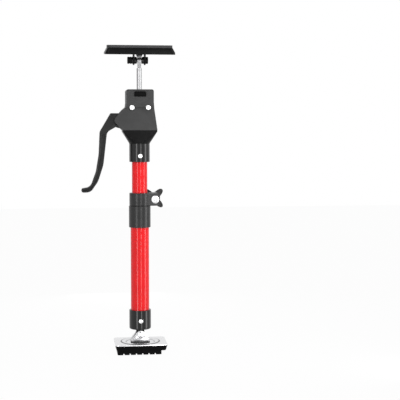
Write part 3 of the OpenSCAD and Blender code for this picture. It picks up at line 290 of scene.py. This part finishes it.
def zinc_with_painted_shade(name, colour, inner, outer):
    """Plated sheet with painted shade: its colour is darker in the two creases round a pressed
    bead.
    """
    graph = Graph(name)
    place = graph.place()
    across = graph.part(place, "X")
    along = graph.part(place, "Y")
    radius = (across * across + along * along) ** 0.5
    cloud = graph.noise(place, 60.0, 3.0)
    outer_crease_shade = radius.rise(outer - 2.2 * MM, outer - 1.2 * MM)
    outer_crease_shade *= 1.0 - radius.rise(outer, outer + 1.4 * MM)
    inner_crease_shade = radius.rise(inner - 2.4 * MM, inner) * (1.0 - radius.rise(inner, inner + MM))
    shade = (outer_crease_shade + inner_crease_shade * 0.7) * cloud.rise(0.1, 0.4)
    # painted shade: in the creases the colour falls to five hundredths of the plate's
    tint = graph.mix_colour(shade.clamped(), colour, [c * 0.05 for c in colour])
    marks = graph.noise(place, 300.0, 3.0, 0.6)
    gloss = 0.24 + 0.08 * (marks - 0.5) + 0.1 * (cloud - 0.5)
    return graph.finish(tint, gloss.clamped(), graph.bump(marks, 0.06, 0.00001), metallic=1.0)


def rubber(name, colour, roughness, grain, depth, gleam=0.2):
    """Rubber: a close, uneven skin that scatters light, paler where it is dusty."""
    graph = Graph(name)
    place = graph.place()
    skin = graph.noise(place, grain, 4.0, 0.6)
    dust = graph.noise(place, 90.0, 3.0)
    tint = graph.mix_colour(dust.rise(0.45, 0.8), colour, [c * 1.15 + 0.001 for c in colour])
    gloss = roughness + 0.1 * (dust - 0.5)
    return graph.finish(tint, gloss, graph.bump(skin, 0.3, depth), specular=gleam)


def finishes():
    """The finish of each of the record's material slots, and of the pieces with their own."""
    look = bpy.context.scene.pole_finish
    black = tuple(look.plastic_colour)
    red = tuple(look.tube_colour)

    def darker(colour, share):
        return tuple(c * share for c in colour)

    return {
        "foot_rubber": rubber(
            "moulded_foot_rubber", (0.003, 0.003, 0.003),
            roughness=0.45, grain=900.0, depth=0.00004, gleam=0.05,
        ),
        "pad_rubber": rubber(
            "pad_sheet_rubber", tuple(look.pad_colour), roughness=0.8, grain=1300.0, depth=0.0001,
        ),
        "plated_steel": bright_metal(
            "zinc_plated_steel", (0.74, 0.74, 0.75), roughness=0.24, streak=300.0,
        ),
        # the foot plate's finish has painted shade in the creases round its bead
        "foot_zinc_painted_shade": zinc_with_painted_shade(
            "pressed_foot_plate_zinc_painted_shade", (0.72, 0.72, 0.73), *FOOT_CREASE_SHADE_RADII,
        ),
        "plain_steel": bright_metal(
            "ground_steel", (0.5, 0.5, 0.51), roughness=0.34, streak=700.0, brushed=(1, 0.08, 1),
        ),
        "spring_steel": bright_metal(
            "spring_wire", (0.6, 0.6, 0.61), roughness=0.26, streak=500.0,
        ),
        "chrome_plate": bright_metal(
            "polished_chrome", (0.8, 0.8, 0.81), roughness=0.2, streak=200.0,
        ),
        "yoke_chrome": bright_metal(
            "pressed_yoke_chrome", (0.6, 0.6, 0.61), roughness=0.22, streak=200.0,
        ),
        "rod_chrome": bright_metal(
            "hard_chrome_rod", (0.34, 0.34, 0.345),
            roughness=0.16, streak=200.0, brushed=(1.0, 1.0, 0.04), depth=0.000003,
        ),
        "bright_rivet": bright_metal(
            "rivet_aluminium", (0.82, 0.82, 0.82), roughness=0.35, streak=400.0,
        ),
        "brass": bright_metal(
            "turned_brass", (0.78, 0.58, 0.26), roughness=0.28, streak=600.0,
        ),
        "black_steel": moulded_plastic(
            "black_coated_steel", (0.003, 0.003, 0.003),
            roughness=0.34, grain=1500.0, depth=0.00003, gleam=0.08,
        ),
        "black_plastic": moulded_plastic(
            "satin_black_plastic", black, roughness=0.5, grain=1800.0, depth=0.00005,
        ),
        "coupler_plastic": moulded_plastic(
            "coupler_black_plastic", darker(black, 0.5),
            roughness=0.28, grain=1400.0, depth=0.00002, gleam=0.28,
        ),
        "lever_plastic": moulded_plastic(
            "lever_black_plastic", darker(black, 0.3),
            roughness=0.32, grain=1400.0, depth=0.00004, gleam=0.25,
        ),
        "gloss_black_plastic": moulded_plastic(
            "glossy_black_plastic", darker(black, 0.16),
            roughness=0.3, grain=900.0, depth=0.00001, gleam=0.06, coat=0.55,
        ),
        "socket_plastic": moulded_plastic(
            "socket_black_plastic", darker(black, 0.16),
            roughness=0.3, grain=900.0, depth=0.00001, gleam=0.06, coat=0.55,
            dull=FUNNEL_HEIGHTS,
        ),
        "natural_plastic": moulded_plastic(
            "natural_acetal", (0.72, 0.71, 0.66),
            roughness=0.42, grain=1200.0, depth=0.00004, gleam=0.4,
        ),
        "red_paint": powder_coat("red_powder_coat", red, darker(red, 0.9)),
    }


FINISH = {}
# Pieces whose finish differs a little from the rest of their material slot
OWN_FINISH = {
    "foot_plate": "foot_zinc_painted_shade",
    "foot_yoke": "yoke_chrome",
    "head_socket": "socket_plastic",
    "push_rod": "rod_chrome",
    "coupler_sleeve": "coupler_plastic",
    "clamp_ring": "coupler_plastic",
    "clamp_knob": "lever_plastic",
    "lever": "lever_plastic",
}


def finish_of(node):
    """The finish of a CAD node, made on first use."""
    if not FINISH:
        FINISH.update(finishes())
    return FINISH[OWN_FINISH.get(node, SLOT[node])]


def dress(node):
    """Gives a CAD node its finish."""
    thing = frame["nodes"][node]
    if not thing.material_slots:
        thing.data.materials.append(None)
    for place in thing.material_slots:
        place.material = finish_of(node)


def body_of(node):
    for body, members in frame["record"]["behaviour"]["bodies"].items():
        if node in members:
            return body
    raise RuntimeError(f"no body holds {node}")


def welded(node):
    """The CAD node's mesh in bmesh, with its doubled points joined."""
    work = bmesh.new()
    work.from_mesh(frame["nodes"][node].data)
    bmesh.ops.remove_doubles(work, verts=work.verts, dist=WELD)
    return work


def stand_in(node, kind, work, sharp_angle):
    """A smooth piece made from work that replaces a CAD node and rides its body."""
    for face in work.faces:
        face.smooth = True
    name = f"{node}_{kind}"
    mesh = bpy.data.meshes.new(name)
    work.to_mesh(mesh)
    work.free()
    mesh.set_sharp_from_angle(angle=math.radians(sharp_angle))
    mesh.materials.append(finish_of(node))
    piece = bpy.data.objects.new(name, mesh)
    bpy.context.scene.collection.objects.link(piece)
    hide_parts(node)
    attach(piece, body_of(node))
    return piece


def soften(node, width):
    """Stands in for a CAD node with the same form and moulded, rounded edges."""
    work = welded(node)
    bmesh.ops.dissolve_limit(
        work,
        angle_limit=math.radians(FLAT_ANGLE),
        verts=work.verts,
        edges=work.edges,
        use_dissolve_boundaries=False,
    )
    sharp = [
        edge
        for edge in work.edges
        if len(edge.link_faces) == 2 and edge.calc_face_angle(0.0) > math.radians(BEVEL_ANGLE)
    ]
    bmesh.ops.bevel(
        work,
        geom=sharp,
        offset=width,
        offset_type="OFFSET",
        affect="EDGES",
        segments=BEVEL_STEPS,
        profile=0.5,
        clamp_overlap=True,
        material=-1,
    )
    stand_in(node, "soft", work, SHARP_ANGLE)


def coil(node):
    """Stands in for a spring's CAD node with smooth wire on a mesh of its own."""
    piece = stand_in(node, "coil", welded(node), COIL_SHARP_ANGLE)
    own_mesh(piece)


# Sizes and colours that a user would change


class PoleFinish(bpy.types.PropertyGroup):
    tube_colour: bpy.props.FloatVectorProperty(
        name="Tube colour", description="Colour of both painted tubes", subtype="COLOR",
        size=3, min=0.0, max=1.0, default=(0.80, 0.009, 0.012),
    )
    plastic_colour: bpy.props.FloatVectorProperty(
        name="Plastic colour", description="Colour of the moulded head, lever and clamp",
        subtype="COLOR", size=3, min=0.0, max=1.0, default=(0.037, 0.037, 0.037),
    )
    pad_colour: bpy.props.FloatVectorProperty(
        name="Pad colour", description="Colour of the rubber pad on the top plate",
        subtype="COLOR", size=3, min=0.0, max=1.0, default=(0.050, 0.050, 0.051),
    )


class PoleEdges(bpy.types.PropertyGroup):
    cover_edge: bpy.props.FloatProperty(
        name="Cover edge", description="Rounding of the head covers' edges",
        default=0.0009, min=0.0, max=0.0012, unit="LENGTH",
    )
    lever_edge: bpy.props.FloatProperty(
        name="Lever edge", description="Rounding of the lever's edges",
        default=0.0012, min=0.0, max=0.002, unit="LENGTH",
    )
    pressed_edge: bpy.props.FloatProperty(
        name="Pressed edge", description="Rounding of the bent sheet parts' edges",
        default=0.0004, min=0.0, max=0.0006, unit="LENGTH",
    )


# One operator for each group of pieces


class POLE_OT_tubes(bpy.types.Operator):
    """Paint the tubes and finish the bushes and rings that slide on them"""

    bl_idname = "pole.tubes"
    bl_label = "Tubes"

    def execute(self, context):
        for node in ("lower_tube", "upper_tube", "guide_bush", "tube_end_ring",
                     "tube_end_clip", "tube_end_plug"):
            dress(node)
        return {"FINISHED"}


class POLE_OT_foot(bpy.types.Operator):
    """Finish the rubber foot, its plate, the yoke and the swivel stem"""

    bl_idname = "pole.foot"
    bl_label = "Foot"

    def execute(self, context):
        edges = context.scene.pole_edges
        soften("foot_pad", FOOT_PAD_EDGE)
        soften("foot_yoke", edges.pressed_edge)
        for node in ("foot_plate", "yoke_washer", "yoke_rivets", "pivot_pin", "pivot_washers",
                     "swivel_stem", "stem_washer", "stem_nut"):
            dress(node)
        return {"FINISHED"}


class POLE_OT_couplings(bpy.types.Operator):
    """Finish the end cap, the coupler sleeve and the clamp with its star knob"""

    bl_idname = "pole.couplings"
    bl_label = "Cap, coupler and clamp"

    def execute(self, context):
        soften("clamp_ring", CLAMP_EDGE)
        soften("clamp_knob", KNOB_EDGE)
        for node in ("end_cap", "end_cap_rivets", "coupler_sleeve", "clamp_bolt",
                     "clamp_washer", "knob_insert"):
            dress(node)
        return {"FINISHED"}


class POLE_OT_head(bpy.types.Operator):
    """Finish the head's socket, covers, rivets and release parts"""

    bl_idname = "pole.head"
    bl_label = "Head"

    def execute(self, context):
        edges = context.scene.pole_edges
        soften("front_cover", edges.cover_edge)
        soften("back_cover", edges.cover_edge)
        coil("drive_spring")
        coil("lock_spring")
        for node in ("head_socket", "socket_rivets", "lower_rod_bush", "seat_plate", "rod_gland",
                     "cover_rivets", "lever_pin", "drive_plate", "lock_plate"):
            dress(node)
        return {"FINISHED"}


class POLE_OT_lever(bpy.types.Operator):
    """Finish the pump lever with moulded edges"""

    bl_idname = "pole.lever"
    bl_label = "Lever"

    def execute(self, context):
        soften("lever", context.scene.pole_edges.lever_edge)
        return {"FINISHED"}


class POLE_OT_rod(bpy.types.Operator):
    """Finish the chrome rod, its guide and the ring and screw at its end"""

    bl_idname = "pole.rod"
    bl_label = "Rod"

    def execute(self, context):
        for node in ("push_rod", "rod_guide", "rod_clip", "rod_end_screw"):
            dress(node)
        return {"FINISHED"}


class POLE_OT_top(bpy.types.Operator):
    """Finish the top plate, its pad and the tilting bracket"""

    bl_idname = "pole.top"
    bl_label = "Top plate"

    def execute(self, context):
        edges = context.scene.pole_edges
        soften("top_plate", edges.pressed_edge)
        soften("top_bracket", edges.pressed_edge)
        soften("top_pad", PAD_EDGE)
        for node in ("bracket_rivet", "tilt_bolt", "spacer_bushes", "tilt_washer", "tilt_nuts"):
            dress(node)
        return {"FINISHED"}


class POLE_OT_stage(bpy.types.Operator):
    """Build the white floor, the soft lights and the camera"""

    bl_idname = "pole.stage"
    bl_label = "Studio"

    def execute(self, context):
        scene = context.scene
        scene.view_settings.view_transform = "Standard"
        self.floor()
        self.surroundings(scene)
        self.lamps()
        self.camera(scene)
        return {"FINISHED"}

    def seen_share(self, graph):
        """1 on the rays by which the camera, gloss or glass shows the background."""
        path = graph.tree.nodes.new("ShaderNodeLightPath")
        seen, mirrored, through = (
            Wire(graph, path.outputs[f"Is {kind} Ray"])
            for kind in ("Camera", "Glossy", "Transmission")
        )
        return (seen + mirrored + through).clamped()

    def floor(self):
        graph = Graph("white_floor")
        plain = graph.add("ShaderNodeBsdfDiffuse", {}, Color=FLOOR_PLAIN)
        glow = graph.add("ShaderNodeEmission", {}, Color=WHITE, Strength=1.0)
        share = self.seen_share(graph) * FLOOR_GLOW_SHARE
        graph.show(graph.add("ShaderNodeMixShader", {}, share, plain, glow))
        work = bmesh.new()
        bmesh.ops.create_grid(work, x_segments=1, y_segments=1, size=FLOOR_HALF)
        bmesh.ops.translate(work, vec=(0.0, 0.0, FLOOR_LEVEL), verts=work.verts)
        mesh = bpy.data.meshes.new("floor")
        work.to_mesh(mesh)
        work.free()
        mesh.materials.append(graph.material)
        thing = bpy.data.objects.new("floor", mesh)
        bpy.context.scene.collection.objects.link(thing)
        thing.visible_glossy = False  # so low pieces mirror the white world and the lamps

    def surroundings(self, scene):
        """A world that is white where it is seen and gives a soft fill elsewhere."""
        world = bpy.data.worlds.new("studio")
        world.use_nodes = True
        graph = WorldGraph(world)
        colour, strength = WORLD_FILL
        fill = graph.add("ShaderNodeBackground", {}, Color=colour, Strength=strength)
        seen = graph.add("ShaderNodeBackground", {}, Color=WHITE, Strength=1.0)
        graph.show(graph.add("ShaderNodeMixShader", {}, self.seen_share(graph), fill, seen))
        scene.world = world

    def lamps(self):
        for name, (turn, away, width, power, mirrored) in STRIPS.items():
            angle = math.radians(turn + CAMERA_TURN)
            place = Vector((away * math.cos(angle), away * math.sin(angle), STRIP_LEVEL))
            light = bpy.data.lights.new(name, "AREA")
            light.shape = "RECTANGLE"
            light.size, light.size_y = width, STRIP_LENGTH
            light.energy = power
            lamp = bpy.data.objects.new(name, light)
            lamp.location = place
            lamp.rotation_euler = self.facing(place, Vector((0.0, 0.0, STRIP_LEVEL)))
            lamp.visible_camera = False
            lamp.visible_glossy = mirrored
            bpy.context.scene.collection.objects.link(lamp)

    def camera(self, scene):
        """The photograph's view: low in front, a little to the left, the pole left of centre."""
        eye = Vector(EYE)
        forward = Vector((-eye.x, -eye.y, 0.0)).normalized()
        right = forward.cross(Vector(UP))
        aim = Vector((0.0, 0.0, AIM_LEVEL)) + AIM_TO_RIGHT * right
        lens = bpy.data.cameras.new("front_camera")
        lens.sensor_width = SENSOR_WIDTH
        lens.lens = LENS
        lens.clip_start = CLIP_START
        camera = bpy.data.objects.new("front_camera", lens)
        camera.location = eye
        camera.rotation_euler = self.facing(eye, aim)
        scene.collection.objects.link(camera)
        scene.camera = camera

    def facing(self, place, aim):
        """The turn by which a lamp or a camera at place looks at aim."""
        return (aim - place).to_track_quat("-Z", "Y").to_euler()


STEPS = (
    POLE_OT_tubes,
    POLE_OT_foot,
    POLE_OT_couplings,
    POLE_OT_head,
    POLE_OT_lever,
    POLE_OT_rod,
    POLE_OT_top,
    POLE_OT_stage,
)


class POLE_PT_panel(bpy.types.Panel):
    """Lists the pole's finishes and building steps"""

    bl_idname = "POLE_PT_panel"
    bl_label = "Support Pole"
    bl_space_type = "VIEW_3D"
    bl_region_type = "UI"
    bl_category = "Support Pole"

    def draw(self, context):
        layout = self.layout
        for group in (context.scene.pole_finish, context.scene.pole_edges):
            box = layout.box()
            for name in group.bl_rna.properties.keys():
                if name not in {"rna_type", "name"}:
                    box.prop(group, name)
        for step in STEPS:
            layout.operator(step.bl_idname)


CLASSES = (PoleFinish, PoleEdges) + STEPS + (POLE_PT_panel,)


def register():
    for cls in CLASSES:
        bpy.utils.register_class(cls)
    bpy.types.Scene.pole_finish = bpy.props.PointerProperty(type=PoleFinish)
    bpy.types.Scene.pole_edges = bpy.props.PointerProperty(type=PoleEdges)


def unregister():
    del bpy.types.Scene.pole_edges
    del bpy.types.Scene.pole_finish
    for cls in reversed(CLASSES):
        bpy.utils.unregister_class(cls)


def main():
    register()
    for step in STEPS:
        group, name = step.bl_idname.split(".")
        getattr(getattr(bpy.ops, group), name)()


if __name__ == "__main__":
    main()
